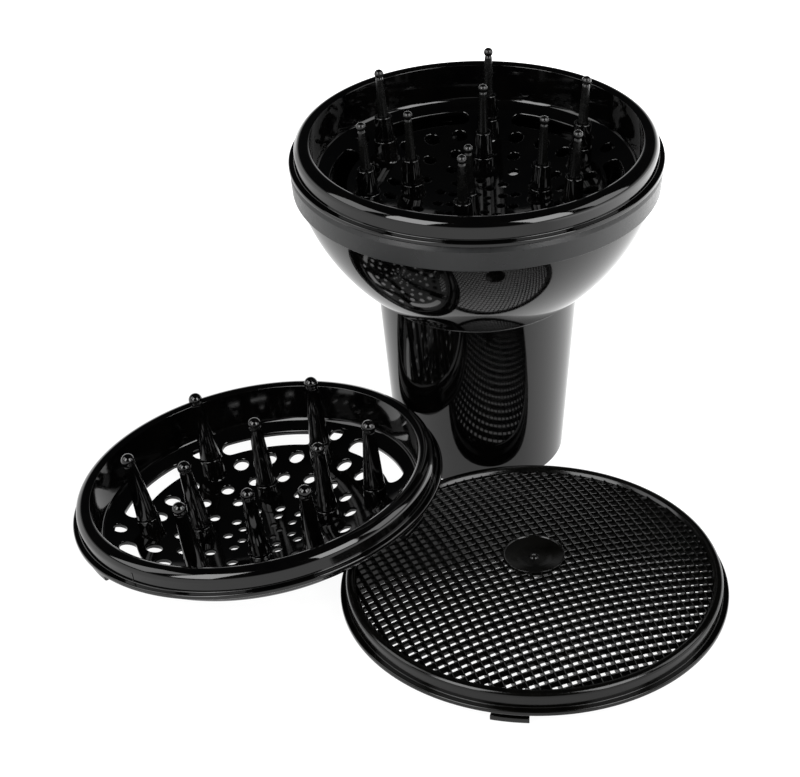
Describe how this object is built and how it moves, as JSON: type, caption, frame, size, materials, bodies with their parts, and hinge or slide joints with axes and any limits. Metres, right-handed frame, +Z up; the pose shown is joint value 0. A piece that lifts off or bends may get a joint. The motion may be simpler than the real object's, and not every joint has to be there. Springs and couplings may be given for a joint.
{
  "type": "hair dryer diffuser",
  "caption": "Diffuser bell on a tapered neck with a twist-lock ring, a fitted pin head, and spare cone-finger and square-mesh heads beside it.",
  "frame": {"origin": "middle of the set's footprint, on the surface it stands on", "axes": "+Z up along the bell's axis, with the neck's mouth facing down; the spare heads lie on the -Y side of the bell"},
  "size_m": [0.2564, 0.262, 0.1597],
  "materials": {
    "gloss_black": "mirror-smooth injection-moulded black plastic",
    "satin_charcoal": "satin charcoal plastic with a soft sheen",
    "satin_black": "satin black plastic",
    "soft_rubber": "soft matt black rubber"
  },
  "bodies": {
    "bell_body": {"bell_shell": "gloss_black", "nozzle_grip": "soft_rubber", "grip_retainer": "satin_black"},
    "ring_body": {"lock_ring": "satin_charcoal"},
    "pin_head_body": {"pin_head_plate": "gloss_black", "pin_sleeve_1": "gloss_black", "pin_sleeve_2": "gloss_black", "pin_sleeve_3": "gloss_black", "pin_sleeve_4": "gloss_black", "pin_sleeve_5": "gloss_black", "pin_sleeve_6": "gloss_black", "pin_sleeve_7": "gloss_black", "pin_sleeve_8": "gloss_black", "pin_sleeve_9": "gloss_black", "pin_sleeve_10": "gloss_black", "pin_1": "satin_black", "pin_2": "satin_black", "pin_3": "satin_black", "pin_4": "satin_black", "pin_5": "satin_black", "pin_6": "satin_black", "pin_7": "satin_black", "pin_8": "satin_black", "pin_9": "satin_black", "pin_10": "satin_black"},
    "cone_head_body": {"cone_head_plate": "gloss_black", "cone_finger_1": "gloss_black", "cone_finger_2": "gloss_black", "cone_finger_3": "gloss_black", "cone_finger_4": "gloss_black", "cone_finger_5": "gloss_black", "cone_finger_6": "gloss_black", "cone_finger_7": "gloss_black", "cone_finger_8": "gloss_black", "cone_finger_9": "gloss_black", "cone_finger_10": "gloss_black"},
    "mesh_head_body": {"mesh_head": "satin_black"}
  },
  "joints": [
    {"name": "ring_lift", "type": "slide", "parent": "bell_body", "child": "ring_body", "axis": [0, 0, 1], "range_m": [0, 0.04]},
    {"name": "pin_head_twist", "type": "hinge", "parent": "ring_body", "child": "pin_head_body", "pos_m": [0.03632, 0.05642, 0.1417], "axis": [0, 0, 1], "range_deg": [0, 18]},
    {"name": "cone_head_lift", "type": "slide", "parent": "bell_body", "child": "cone_head_body", "axis": [-0.1271, 0.0579, 0.9902], "range_m": [0, 0.03]},
    {"name": "mesh_head_slide", "type": "slide", "parent": "bell_body", "child": "mesh_head_body", "axis": [0.1516, -0.9884, 0], "range_m": [0, 0.04]}
  ]
}
